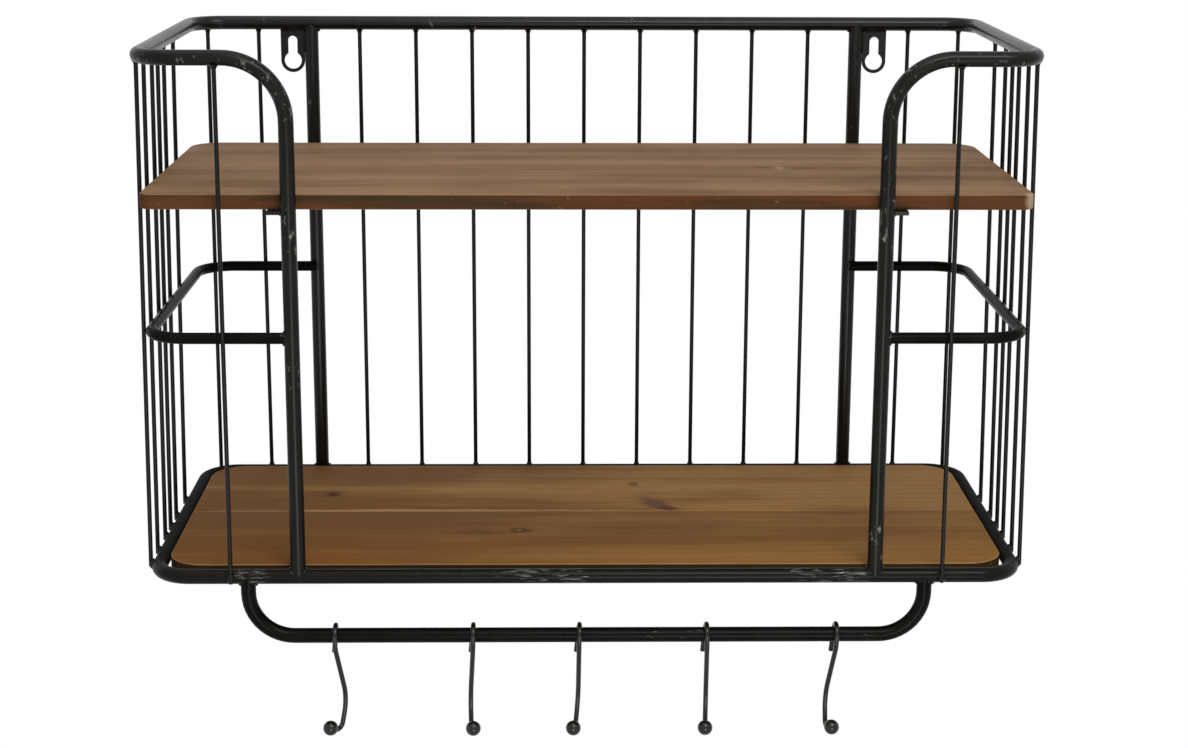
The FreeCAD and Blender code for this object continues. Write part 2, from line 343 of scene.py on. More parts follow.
# Where the paint is rubbed: centre and half length in millimetres, along X for tubes and along Z for posts
FRONT_TUBE_SCUFFS = ((-265, 20), (-30, 58), (195, 48))
RAIL_SCUFFS = ((68, 34), (218, 18))
POST_SCUFFS = {
    "left": ((10, 36), (-98, 34), (-215, 16)),
    "right": ((10, 36), (-75, 62), (-350, 24)),
}
FRONT_TUBE_WEAR = 0.85
RAIL_WEAR = 0.5
POST_WEAR = 0.64
BETWEEN_SCUFFS = 0.2         # share of that wear outside the rubbed stretches
FULL_SHARE = 0.35            # of a stretch's half length, rubbed in full
# The chipped paint at the rim's front corners stands partly for wear and partly for a painted highlight on
# the bend
CORNER_WEAR_AND_HIGHLIGHT = 26 * MM       # length along X of the rubbed bend at the front corner
RIM_DULL_DEPTH = 35 * MM     # from the front tube's middle to where the lower rim is fully dull
RIM_DULLNESS = 0.5


def rubbed_stretches(graph, coordinate, scuffs):
    """1 in the middle of each scuffed stretch, and the small wear between them."""
    total = BETWEEN_SCUFFS
    for centre, half_length in scuffs:
        away = graph.math("ABSOLUTE", graph.minus(coordinate, centre * MM))
        zone = graph.ease(away, half_length * MM, FULL_SHARE * half_length * MM)
        total = graph.plus(total, zone, clamp=True)
    return total


def front_tube_zones(graph, place):
    """The lower rim is rubbed along its front tube, and less and less towards mid depth."""
    x, y, _ = place
    zones = graph.times(rubbed_stretches(graph, x, FRONT_TUBE_SCUFFS), FRONT_TUBE_WEAR)
    return graph.times(zones, graph.ease(y, y_middle, y_front + tube_r))


def rim_dullness(graph, place):
    """The lower rim is dull behind its front tube."""
    behind = graph.ease(place[1], y_front + tube_r, y_front + RIM_DULL_DEPTH)
    return graph.times(behind, RIM_DULLNESS)


def rail_zones(graph, place):
    return graph.times(rubbed_stretches(graph, place[0], RAIL_SCUFFS), RAIL_WEAR)


def post_zones(side_name):
    """The rubbed stretches of one front post along its height, and the rim's front corner, whose chipped
    paint is partly wear and partly a painted highlight.
    """
    def zones(graph, place):
        upright = rubbed_stretches(graph, place[2], POST_SCUFFS[side_name])
        # At the rim's front corner the chipped paint is partly wear and partly a painted highlight
        corner = graph.ease(graph.math("ABSOLUTE", place[0]), rim_x - CORNER_WEAR_AND_HIGHLIGHT, rim_x)
        return graph.times(graph.math("MAXIMUM", upright, corner), POST_WEAR)

    return zones


# Scuffs per metre along X, Y and Z
ALONG_X = (70, 520, 520)
ALONG_Z = (330, 330, 75)
FINE_ALONG_Z = (260, 330, 140)
ALL_WAYS = (130, 130, 130)

rim_paint = paint(
    "black paint rubbed along the front", ALONG_X, zones=front_tube_zones, dull=rim_dullness, gloss=0.09
)
# The rail has a darker, less glossy black than the other tubes
rail_paint = paint("black paint of the rail", ALONG_X, zones=rail_zones, black=(10, 9, 7), gloss=0.05)
tube_paint = paint("black paint of the tubes", ALL_WAYS, wear=0.3, gloss=0.18)
hoop_paint = paint("black paint of the hoops", ALL_WAYS, wear=0.3, gloss=0.02)
wire_paint = paint("black paint of the wires", ALONG_Z, wear=0.1, ripple=0.02)
weld_paint = paint("black paint over the welds", ALL_WAYS, wear=0.4)
hook_paint = paint("black paint of the hooks", ALONG_Z, wear=0.05, roughness=0.19, gloss=0.34, ripple=0.02)


def dress(material, *nodes):
    """Give nodes that show as they are their material."""
    for node in nodes:
        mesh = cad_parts[node].data
        mesh.materials.clear()
        mesh.materials.append(material)


dress(rim_paint, "bottom_rim")
dress(rail_paint, "hook_rail")
dress(tube_paint, "top_rim")
for side_name, _ in SIDES:
    post_name = "black paint of the %s front post" % side_name
    post_paint = paint(post_name, FINE_ALONG_Z, zones=post_zones(side_name))
    dress(post_paint, "front_post_" + side_name)
    dress(hoop_paint, "side_hoop_" + side_name)
    dress(tube_paint, "back_post_" + side_name)
    dress(tube_paint, "upper_support_" + side_name, "lower_support_" + side_name)
    dress(wire_paint, *numbered(side_name + "_wire", END_WIRE_COUNT))
dress(wire_paint, *numbered("back_wire", BACK_WIRE_COUNT))
dress(hook_paint, *numbered("hook", HOOK_COUNT), *numbered("hook_ball", HOOK_COUNT))


# Stained wood
PORE_TONE = (60, 40, 26)
# Pale tone of the painted highlight on the boards' eased edges, where the rounded edge catches the light
EDGE_HIGHLIGHT_TONE = (176, 142, 104)
WORN_TONE = (186, 164, 138)
STREAK_DARKNESS = 0.6        # of the sides' darker tone
RING_WANDER = 34 * MM
KNOT_PUSH = 0.9              # how far a knot pushes the rings aside, of its half width
KNOT_FADE = 0.35             # how fast that fades with the square of the distance
GRAIN_DEPTH = 0.16 * MM
WOOD_GLOSS = 0.08
SIDE_SHARE = 0.9             # of the sides' own tones
WORN_SHARE = 0.7             # of bare wood in a worn area
TINT_CORE = 0.2              # share of an area's size that has its tone in full
WORN_CORE = 0.3


def elliptic_distance(graph, place, area):
    """0 at the middle of an elliptic area, 1 on its outline."""
    x, y, half_length, half_width, turn = area
    cosine = math.cos(math.radians(turn))
    sine = math.sin(math.radians(turn))
    away_x = graph.minus(place[0], x * MM)
    away_y = graph.minus(place[1], y * MM)
    along = graph.plus(
        graph.times(away_x, cosine / (half_length * MM)),
        graph.times(away_y, sine / (half_length * MM)),
    )
    across = graph.minus(
        graph.times(away_y, cosine / (half_width * MM)),
        graph.times(away_x, sine / (half_width * MM)),
    )
    return graph.length(along, across)


def patch(graph, place, area, ragged, core, share):
    """The share of another tone in an area with a ragged outline, undiluted in its core."""
    distance = graph.plus(elliptic_distance(graph, place, area), ragged)
    return graph.times(graph.ease(distance, 1.0, core), share)


def late_wood_rings(graph, place, pith, ring_width, knots):
    """1 in the dark part of each ring, 0 in its pale part, with the rings bent round the knots."""
    from_pith_y = graph.minus(place[1], pith[0] * MM)
    from_pith_z = graph.minus(place[2], pith[1] * MM)
    wander = graph.noise(place, (2.6, 9, 9))
    radius = graph.plus(graph.length(from_pith_y, from_pith_z), graph.times(wander, RING_WANDER))
    for knot in knots:
        distance = elliptic_distance(graph, place, knot)
        fall = graph.math("EXPONENT", graph.times(graph.times(distance, distance), -KNOT_FADE))
        radius = graph.plus(radius, graph.times(fall, KNOT_PUSH * knot[3] * MM))
    rings = graph.math("FRACT", graph.math("DIVIDE", radius, ring_width * MM))
    return graph.times(graph.ease(rings, 0.35, 0.88), graph.ease(rings, 1.0, 0.93))


def stained_face(graph, place, fibre, rings, pale, deep, late, lean):
    """A board's top and underside: stain in bands and blotches, with rings, fibres and pores."""
    bands = graph.noise(place, (2.2, 30, 30), detail=3.0, roughness=0.6)
    blotch = graph.noise(place, (9, 16, 16))
    pores = graph.noise(place, (60, 1500, 1500), detail=1.0)
    stain = graph.plus(graph.times(bands, 0.7), graph.times(blotch, 0.3))
    stain = graph.plus(stain, graph.times(place[0], lean))
    colour = graph.mix(graph.ease(stain, 0.34, 0.64), srgb(*deep), srgb(*pale))
    colour = graph.mix(rings, colour, srgb(*late))
    colour = graph.mix(graph.times(graph.ease(fibre, 0.5, 0.8), 0.28), colour, srgb(*late))
    return graph.mix(graph.times(graph.ease(pores, 0.66, 0.74), 0.3), colour, srgb(*PORE_TONE))


def stained_sides(graph, place, fibre, edges, pale):
    """A board's sides, darker than its top and underside: two tones, dark streaks and a few pale nicks."""
    drift = graph.noise(place, (5, 5, 60), detail=3.0)
    nicks = graph.noise(place, (190, 190, 260), detail=4.0, roughness=0.6)
    streak_tone = tuple(value * STREAK_DARKNESS for value in edges[0])
    colour = graph.mix(graph.ease(drift, 0.38, 0.62), srgb(*edges[0]), srgb(*edges[1]))
    colour = graph.mix(graph.times(graph.ease(fibre, 0.4, 0.8), 0.35), colour, srgb(*streak_tone))
    return graph.mix(graph.times(graph.ease(nicks, 0.64, 0.74), 0.5), colour, srgb(*pale))


def wood(name, pith, ring_width, ring_share, pale, deep, late, lean, edges, edge_highlight, knots, tints, worn=()):
    """Brown-stained softwood cut from one trunk, with its rings running through the board.

    pith is the trunk's middle as Y and Z, ring_width the spacing of the rings and ring_share how strongly
    their dark part shows. pale and deep are the stain's two tones, late is the dark part of each ring. lean
    makes the colour paler towards +X. edges are the two tones of the sides, and rub is how strongly the eased
    edges are painted pale, a painted highlight where they catch the light. knots are areas that the rings
    bend round, tints are areas with another tone and its share, and worn are areas rubbed to bare wood. An
    area is
    X, Y, half length, half width and turn. Lengths are in millimetres and turns in degrees.
    """
    graph = new_graph(name)
    place = graph.position()
    upright = graph.math("ABSOLUTE", graph.normal()[2])
    rings = graph.times(late_wood_rings(graph, place, pith, ring_width, knots), ring_share)
    fibre = graph.noise(place, (26, 900, 900), detail=3.0, roughness=0.65)
    ragged = graph.scale(graph.noise(place, (40, 160, 160), detail=3.0), -0.5, 0.5)

    colour = stained_face(graph, place, fibre, rings, pale, deep, late, lean)
    for area, tone, share in tints:
        colour = graph.mix(patch(graph, place, area, ragged, TINT_CORE, share), colour, srgb(*tone))
    side = graph.times(graph.ease(upright, 0.75, 0.3), SIDE_SHARE)
    colour = graph.mix(side, colour, stained_sides(graph, place, fibre, edges, pale))
    # The eased edges are found by the surface's direction and painted pale: a painted highlight where the
    # rounded edge catches the light
    eased = graph.times(graph.ease(upright, 0.98, 0.85), graph.ease(upright, 0.3, 0.55))
    rubbed = graph.scale(graph.noise(place, (22, 22, 22), detail=3.0), 0.1 * edge_highlight, edge_highlight)
    colour = graph.mix(graph.times(eased, rubbed), colour, srgb(*EDGE_HIGHLIGHT_TONE))
    for area in worn:
        there = patch(graph, place, area, ragged, WORN_CORE, WORN_SHARE)
        colour = graph.mix(there, colour, srgb(*WORN_TONE))

    height = graph.plus(graph.times(fibre, 0.5), rings)
    return graph.finish(
        Base_Color=colour,
        Roughness=graph.scale(fibre, 0.62, 0.8),
        Specular_IOR_Level=WOOD_GLOSS,
        Normal=graph.bump(height, GRAIN_DEPTH, 0.55),
    )


upper_wood = wood(
    "stained wood of the upper board",
    pith=(190, -150),
    ring_width=6.2,
    ring_share=0.62,
    pale=(150, 118, 88),
    deep=(112, 84, 59),
    late=(97, 70, 47),
    lean=0.0,
    edges=((44, 31, 12), (83, 46, 21)),
    edge_highlight=0.0,
    knots=((160, -146, 14, 16, 4),),
    tints=(
        ((160, -146, 6, 13, 0), (158, 127, 98), 0.7),
        ((146, -143, 12, 7, 0), (84, 58, 38), 0.9),
        ((180, -147, 18, 7, 0), (84, 58, 38), 0.9),
        ((160, -176, 15, 6, 0), (100, 74, 52), 0.5),
    ),
    worn=((345, -272, 10, 8, -20),),
)
lower_back_wood = wood(
    "stained wood of the back plank",
    pith=(120, -460),
    ring_width=11,
    ring_share=0.16,
    pale=(168, 126, 75),
    deep=(124, 86, 46),
    late=(106, 71, 38),
    lean=0.5,
    edges=((60, 38, 20), (74, 46, 26)),
    edge_highlight=0.7,
    knots=((-222, -94, 9, 9, 0), (62, -122, 28, 14, -58)),
    tints=(
        ((-228, -93, 28, 15, 0), (98, 63, 32), 0.55),
        ((-221, -94, 9, 8, 0), (58, 31, 10), 0.85),
        ((44, -67, 6, 13, 0), (98, 66, 38), 0.65),
        ((62, -122, 30, 15, -58), (98, 67, 56), 0.8),
        ((72, -135, 14, 9, -40), (78, 46, 36), 0.75),
        # A pale band along the joint with the front plank: a painted highlight where the light glints off the
        # edge at the joint
        ((-140, -140, 215, 6, 0), (186, 148, 106), 0.8),
    ),
)
lower_front_wood = wood(
    "stained wood of the front plank",
    pith=(-420, -470),
    ring_width=11,
    ring_share=0.16,
    pale=(144, 103, 54),
    deep=(120, 80, 39),
    late=(94, 60, 27),
    lean=0.36,
    edges=((42, 27, 15), (56, 36, 20)),
    edge_highlight=1.0,
    knots=((-56, -192, 12, 10, 0),),
    tints=(
        ((-230, -258, 130, 30, 0), (134, 80, 32), 0.35),
        ((70, -256, 230, 24, 0), (156, 114, 66), 0.3),
        ((-92, -197, 36, 11, 0), (86, 55, 27), 0.6),
        ((-56, -192, 13, 9, 0), (64, 35, 12), 0.85),
        ((-56, -191, 4, 4, 0), (158, 112, 66), 0.6),
    ),
)


# Meshes and pieces
def circle(count):
    """The cosine and sine of evenly spaced angles all round."""
    angles = [2 * math.pi * step / count for step in range(count)]
    return [(math.cos(angle), math.sin(angle)) for angle in angles]


def join_rings(build, lower, upper):
    count = len(lower)
    for at in range(count):
        after = (at + 1) % count
        build.faces.new((lower[at], lower[after], upper[after], upper[at]))


def skin(build, rings, closed=False):
    """Faces along a row of rings of points, whose ends are joined to each other or else capped."""
    for lower, upper in zip(rings, rings[1:]):
        join_rings(build, lower, upper)
    if closed:
        first, last = rings[0], rings[-1]
        shift = min(range(len(first)), key=lambda at: (first[at].co - last[0].co).length)
        join_rings(build, last, first[shift:] + first[:shift])
    else:
        build.faces.new(reversed(rings[0]))
        build.faces.new(rings[-1])


def built_mesh(name, build):
    mesh = bpy.data.meshes.new(name)
    build.to_mesh(mesh)
    build.free()
    return mesh


def smooth(mesh, sharp_degrees):
    """Round shading, broken at edges sharper than the angle."""
    mesh.shade_smooth()
    mesh.set_sharp_from_angle(angle=math.radians(sharp_degrees))


def new_piece(name, mesh, material, body=STEEL_BODY):
    """A finished mesh as a piece of the object."""
    piece = bpy.data.objects.new(name, mesh)
    bpy.context.scene.collection.objects.link(piece)
    mesh.materials.clear()
    mesh.materials.append(material)
    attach(piece, body)
    return piece


# Boards with eased edges
def rounded_outline(x_half, y_low, y_high, front_r, back_r):
    """Points round a board, anticlockwise from its front edge, evenly spaced along the straight edges."""
    corners = (
        (x_half - front_r, y_low + front_r, front_r, -90),
        (x_half - back_r, y_high - back_r, back_r, 0),
        (-x_half + back_r, y_high - back_r, back_r, 90),
        (-x_half + front_r, y_low + front_r, front_r, 180),
    )

    def on_corner(number, degrees):
        centre_x, centre_y, radius, start = corners[number % len(corners)]
        angle = math.radians(start + degrees)
        return Vector((centre_x + radius * math.cos(angle), centre_y + radius * math.sin(angle)))

    points = []
    for number in range(len(corners)):
        points += [on_corner(number, 90 * step / CORNER_STEPS) for step in range(CORNER_STEPS + 1)]
        here = points[-1]
        goal = on_corner(number + 1, 0)
        stations = max(2, round((goal - here).length / EDGE_STATION))
        points += [here.lerp(goal, step / stations) for step in range(1, stations)]
    return points


def eased_profile(z_low, z_high):
    """Inset and height of each ring up a board's side, with a quarter round at either edge."""
    turns = [math.radians(90 * step / EDGE_STEPS) for step in range(EDGE_STEPS + 1)]
    insets = [EDGE_EASE * (1 - math.sin(turn)) for turn in turns]
    rises = [EDGE_EASE * (1 - math.cos(turn)) for turn in turns]
    lower = [(inset, z_low + rise) for inset, rise in zip(insets, rises)]
    upper = [(inset, z_high - rise) for inset, rise in zip(insets, rises)]
    return lower + upper[::-1]


def board_mesh(name, node, front_r, back_r):
    """A board with its edges rounded over, a little unevenly, inside the node's own box."""
    low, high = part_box(node)
    x_half = (high.x - low.x) / 2
    build = bmesh.new()
    rings = []
    for inset, z in eased_profile(low.z, high.z):
        outline = rounded_outline(
            x_half - inset, low.y + inset, high.y - inset, front_r - inset, back_r - inset
        )
        ring = []
        for point in outline:
            spot = Vector((point.x * WOBBLE_ALONG, point.y * WOBBLE_ALONG, z * WOBBLE_THROUGH))
            wobble = noise.noise(spot) * 0.5 + 0.5
            pull = 1 - EDGE_WOBBLE * wobble / x_half
            ring.append(build.verts.new((point.x * pull, point.y, z)))
        rings.append(ring)
    skin(build, rings)
    mesh = built_mesh(name, build)
    smooth(mesh, BOARD_SHARP)
    return mesh


def make_board(name, node, front_r, back_r, material):
    piece = new_piece(name, board_mesh(name, node, front_r, back_r), material)
    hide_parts(node)


make_board("upper_shelf", "upper_board", UPPER_FRONT_R, UPPER_BACK_R, upper_wood)
make_board("lower_shelf_front", "lower_board_front", LOWER_R, SQUARE_R, lower_front_wood)
make_board("lower_shelf_back", "lower_board_back", SQUARE_R, LOWER_R, lower_back_wood)


# Welds
BEAD_TIP = 0.35              # share of the radius at the end of an open bead
RIPPLE_HEIGHT = 0.16         # ripples and unevenness, of the bead's radius
RIPPLE_LENGTH = 0.35
BEAD_UNEVEN = 0.22
BEAD_PATCH = 2 * MM          # size of the uneven patches
SADDLE_OUT = 0.2             # how far a bead's middle lies outside the branch tube, of its radius
SADDLE_TUCK = 0.85           # how far it is drawn in again at the main tube's sides
SADDLE_THIN = 0.6            # how much thinner it is there
GRIND_DEPTH = 1.2            # of a seam bead's radius
COLLAR_HOLLOW = 2.2          # power of the collar's hollow cheek
COLLAR_FIT = 1.02            # its neck, of the wire's radius
COLLAR_UNEVEN = 0.3
COLLAR_PATCH = 1.6 * MM
LUMP_UNEVEN = 0.18
LUMP_PATCH = 1.8 * MM
LUMP_DETAIL = 3              # times that a lump's faces are divided
ROUND_STEP = 0.45            # spacing of the points along a bead, of its radius
LINE_STEP = 0.5


def points_round(radius, bead_r):
    """How many points a bead needs on its way round a tube."""
    return max(24, round(2 * math.pi * radius / (ROUND_STEP * bead_r)))


class Welds:
    """One mesh of weld beads and lumps, each a closed form of its own."""

    def __init__(self):
        self.build = bmesh.new()

    def bead(self, points, shares, radius, closed):
        """A rippled bead along a line of points, each with its own share of the radius."""
        count = len(points)
        rings = []
        across = None
        walked = 0.0
        for at, (point, share) in enumerate(zip(points, shares)):
            before = points[at - 1] if closed or at else points[0]
            after = points[(at + 1) % count] if closed or at < count - 1 else points[-1]
            way = (after - before).normalized()
            if across is None:
                across = way.orthogonal().normalized()
            across = (across - way * across.dot(way)).normalized()
            up = way.cross(across)
            ripple = 1 + RIPPLE_HEIGHT * math.sin(walked / (RIPPLE_LENGTH * radius))
            size = radius * (ripple + BEAD_UNEVEN * noise.noise(point / BEAD_PATCH)) * share
            offsets = [across * cosine + up * sine for cosine, sine in circle(BEAD_SIDES)]
            rings.append([self.build.verts.new(point + offset * size) for offset in offsets])
            walked += (after - before).length / 2
        skin(self.build, rings, closed)

    def line(self, start, end, radius):
        """A straight bead, tapered over a quarter of its length at either end."""
        count = max(6, round((end - start).length / (LINE_STEP * radius)))
        points = [start.lerp(end, step / count) for step in range(count + 1)]
        quarter = max(1, len(points) // 4)
        from_end = [min(at, count - at) / quarter for at in range(count + 1)]
        shares = [BEAD_TIP + (1 - BEAD_TIP) * min(1.0, share) for share in from_end]
        self.bead(points, shares, radius, closed=False)

    def saddle(self, centre, way, main_way, branch_r, bead_r, offset=0.0):
        """A bead where a branch tube meets the side of a main tube, its axis offset from the main one.

        It thins and sinks towards the main tube's sides, where the two tubes run into each other.
        """
        side_way = way.cross(main_way)
        points = []
        shares = []
        for cosine, sine in circle(points_round(branch_r, bead_r)):
            to_side = min(1.0, abs(branch_r * sine + offset) / tube_r)
            reach = (branch_r + bead_r * (SADDLE_OUT - SADDLE_TUCK * to_side ** 3)) * sine + offset
            rise = math.sqrt(max(tube_r ** 2 - reach ** 2, 0.0))
            along = (branch_r + SADDLE_OUT * bead_r) * cosine
            points.append(centre + side_way * reach + main_way * along + way * rise)
            shares.append(1 - SADDLE_THIN * to_side ** 2)
        self.bead(points, shares, bead_r, closed=True)

    def seam(self, centre, way):
        """A bead right round a frame tube's butt joint, ground flush where it faces up or the wall."""
        first = way.orthogonal().normalized()
        second = way.cross(first)
        radius = tube_r - SEAM_SINK
        points = []
        for cosine, sine in circle(points_round(radius, SEAM_BEAD)):
            offset = first * cosine + second * sine
            ground = max(0.0, offset.z, offset.y) ** 2
            points.append(centre + offset * (radius - GRIND_DEPTH * SEAM_BEAD * ground))
        self.bead(points, [1.0] * len(points), SEAM_BEAD, closed=True)

    def collar(self, end, way):
        """A hollow-cheeked fillet round a wire's end, widest at the tip inside the tube."""
        tip = end - way * COLLAR_SINK
        first = way.orthogonal().normalized()
        second = way.cross(first)
        rings = []
        for level in range(COLLAR_LEVELS + 1):
            share = level / COLLAR_LEVELS
            middle = tip + way * (COLLAR_HEIGHT * share)
            swell = wire_r * COLLAR_FIT + COLLAR_FLARE * (1 - share) ** COLLAR_HOLLOW
            ring = []
            for cosine, sine in circle(COLLAR_SIDES):
                offset = (first * cosine + second * sine) * swell
                uneven = 1 + COLLAR_UNEVEN * (1 - share) * noise.noise((middle + offset) / COLLAR_PATCH)
                ring.append(self.build.verts.new(middle + offset * uneven))
            rings.append(ring)
        skin(self.build, rings)

    def lump(self, centre, sizes):
        """An uneven blob of weld metal."""
        place = Matrix.Translation(centre) @ Matrix.Diagonal((*sizes, 1.0))
        made = bmesh.ops.create_icosphere(self.build, subdivisions=LUMP_DETAIL, radius=1.0, matrix=place)
        for vert in made["verts"]:
            swell = 1 + LUMP_UNEVEN * noise.noise(vert.co / LUMP_PATCH)
            vert.co = centre + (vert.co - centre) * swell

    def piece(self, name):
        bmesh.ops.recalc_face_normals(self.build, faces=self.build.faces)
        mesh = built_mesh(name, self.build)
        smooth(mesh, WELD_SHARP)
        new_piece(name, mesh, weld_paint)


def wire_ends(node):
    """Top and foot of a wire's centre line, which leans outward from its top where it leans."""
    low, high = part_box(node)
    xs = sorted((low.x + wire_r, high.x - wire_r), key=abs)
    ys = (low.y + wire_r, high.y - wire_r)
    if low.y + high.y < 2 * y_middle:
        ys = ys[::-1]
    return Vector((xs[0], ys[0], high.z)), Vector((xs[1], ys[1], low.z))


def weld_leaning_wire(welds, node):
    """A collar under the upper rim, and a lump where the foot passes the side of the lower one."""
    top, foot = wire_ends(node)
    welds.collar(top, (foot - top).normalized())
    toward_rim = Vector((top.x - foot.x, top.y - foot.y, 0)).normalized()
    touch = Vector((foot.x, foot.y, z_bottom)) + toward_rim * wire_r
    along_x = FOOT_LUMP + (FOOT_LUMP_ALONG - FOOT_LUMP) * abs(toward_rim.y)
    along_y = FOOT_LUMP + (FOOT_LUMP_ALONG - FOOT_LUMP) * abs(toward_rim.x)
    welds.lump(touch, Vector((along_x, along_y, FOOT_LUMP_HEIGHT)))


def make_wire_welds():
    welds = Welds()
    standing = numbered("back_wire", BACK_WIRE_COUNT)
    for side_name, _ in SIDES:
        *leaning, outer_back = numbered(side_name + "_wire", END_WIRE_COUNT)
        standing.append(outer_back)
        for node in leaning:
            weld_leaning_wire(welds, node)
    for node in standing:
        top, foot = wire_ends(node)
        welds.collar(top, DOWN)
        welds.collar(foot, Z_WAY)
    welds.piece("wire_welds")


def weld_posts(welds, side):
    """Where the posts and the rail's leg meet the rims."""
    for x, y, z, way, branch_r in (
        (front_post_x, y_front, z_bottom, Z_WAY, tube_r),
        (back_post_x, y_back, z_bottom, Z_WAY, tube_r),
        (back_post_x, y_back, z_top, DOWN, tube_r),
        (rail_leg_x, y_front, z_bottom, DOWN, rail_r),
    ):
        welds.saddle(Vector((side * x, y, z)), way, X_WAY, branch_r, POST_BEAD)


def weld_hoop(welds, side):
    """Where a side hoop meets the posts, and the plug in its open back end."""
    outward = X_WAY * side
    side_way = outward.cross(Z_WAY)
    back_offset = hoop_high.y - hoop_r - y_back
    front_offset = hoop_low.y + hoop_r - y_front
    for x, y, offset in ((back_post_x, y_back, back_offset), (front_post_x, y_front, front_offset)):
        post = Vector((side * x, y, z_hoop))
        welds.saddle(post, outward, Z_WAY, hoop_r, HOOP_BEAD, offset * side_way.y)
    open_end = Vector((side * back_post_x, y_back + back_offset, z_hoop))
    welds.lump(open_end, Vector((PLUG_HALF_DEPTH, PLUG_SHARE * hoop_r, PLUG_SHARE * hoop_r)))


def weld_plate(welds, side_name, side):
    """Along the top of a keyhole plate, and down its edge beside the back post."""
    low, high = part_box("keyhole_plate_" + side_name)
    welds.line(Vector((low.x, low.y, high.z)), Vector((high.x, low.y, high.z)), PLATE_BEAD)
    post_side = low.x if side > 0 else high.x
    joint_top = Vector((post_side, low.y, high.z))
    welds.line(joint_top, Vector((post_side, low.y, PLATE_BEAD_FOOT * high.z)), PLATE_BEAD)


def weld_bars(welds, side_name, side):
    """Both ends of the flat bars under the shelves."""
    low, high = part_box("upper_support_" + side_name)
    start = Vector((side * (front_post_x + tube_r), y_front, low.z))
    welds.line(start, start + Y_WAY * tube_r, BAR_BEAD)
    start = Vector((low.x + BAR_BEAD, high.y, low.z))
    welds.line(start, Vector((high.x - BAR_BEAD, high.y, low.z)), BAR_BEAD)
    low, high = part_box("lower_support_" + side_name)
    z = (low.z + high.z) / 2
    for y in (low.y - BAR_BEAD / 2, high.y + BAR_BEAD / 2):
        welds.line(Vector((low.x, y, z)), Vector((high.x, y, z)), BAR_BEAD)


def make_frame_welds():
    welds = Welds()
    for side_name, side in SIDES:
        weld_posts(welds, side)
        weld_hoop(welds, side)
        welds.seam(Vector((side * rim_x, seam_y, z_top)), Y_WAY)
        weld_plate(welds, side_name, side)
        weld_bars(welds, side_name, side)
    welds.seam(Vector((0, y_back, z_bottom)), X_WAY)
    welds.piece("frame_welds")


make_wire_welds()
make_frame_welds()


# Keyhole plates with eased edges
def arc(centre_z, radius, start, end):
    """Points along an arc about a place on the plate's upright middle line."""
    points = []
    for step in range(ARC_STEPS + 1):
        angle = math.radians(start + (end - start) * step / ARC_STEPS)
        points.append((radius * math.cos(angle), centre_z + radius * math.sin(angle)))
    return points


def keyhole_loops(half_width, top):
    """The outline of a plate with a round foot, and its keyhole."""
    outline = [(-half_width, top)] + arc(0, half_width, 180, 360) + [(half_width, top)]
    slot_r = KEYHOLE_SLOT_W / 2
    neck = math.degrees(math.acos(slot_r / KEYHOLE_R))
    hole = arc(0, KEYHOLE_R, 180 - neck, 360 + neck) + arc(KEYHOLE_RISE, slot_r, 0, 180)
    return outline, hole


def make_keyhole_plate(side_name):
    node = "keyhole_plate_" + side_name
    low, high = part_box(node)
    curve = bpy.data.curves.new(node, "CURVE")
    curve.dimensions = "2D"
    curve.fill_mode = "BOTH"
    curve.extrude = (high.y - low.y) / 2 - PLATE_BEVEL
    curve.bevel_depth = PLATE_BEVEL
    curve.bevel_resolution = BEVEL_STEPS
    curve.offset = -PLATE_BEVEL
    for loop in keyhole_loops((high.x - low.x) / 2, high.z):
        spline = curve.splines.new("POLY")
        spline.points.add(len(loop) - 1)
        spline.use_cyclic_u = True
        for point, (x, z) in zip(spline.points, loop):
            point.co = (x, z, 0, 1)
    shape = bpy.data.objects.new(node + "_curve", curve)
    mesh = bpy.data.meshes.new_from_object(shape)
    bpy.data.objects.remove(shape)
    upright = Matrix.Rotation(math.radians(90), 4, "X")
    mesh.transform(Matrix.Translation(((low.x + high.x) / 2, (low.y + high.y) / 2, 0)) @ upright)
    smooth(mesh, METAL_SHARP)
    piece = new_piece("hanger_plate_" + side_name, mesh, tube_paint)
    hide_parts(node)


for side_name, _ in SIDES:
    make_keyhole_plate(side_name)


# Screws under the shelves
ZINC_TONES = ((120, 118, 112), (176, 174, 166))
ZINC_RELIEF = 0.03 * MM


def screw_steel():
    graph = new_graph("zinc-plated screw")
    streak = graph.noise(graph.position(), (700, 700, 700), detail=3.0)
    return graph.finish(
        Base_Color=graph.mix(streak, *(srgb(*tone) for tone in ZINC_TONES)),
        Metallic=1.0,
        Roughness=graph.scale(streak, 0.28, 0.45),
        Normal=graph.bump(streak, ZINC_RELIEF, 0.5),
    )


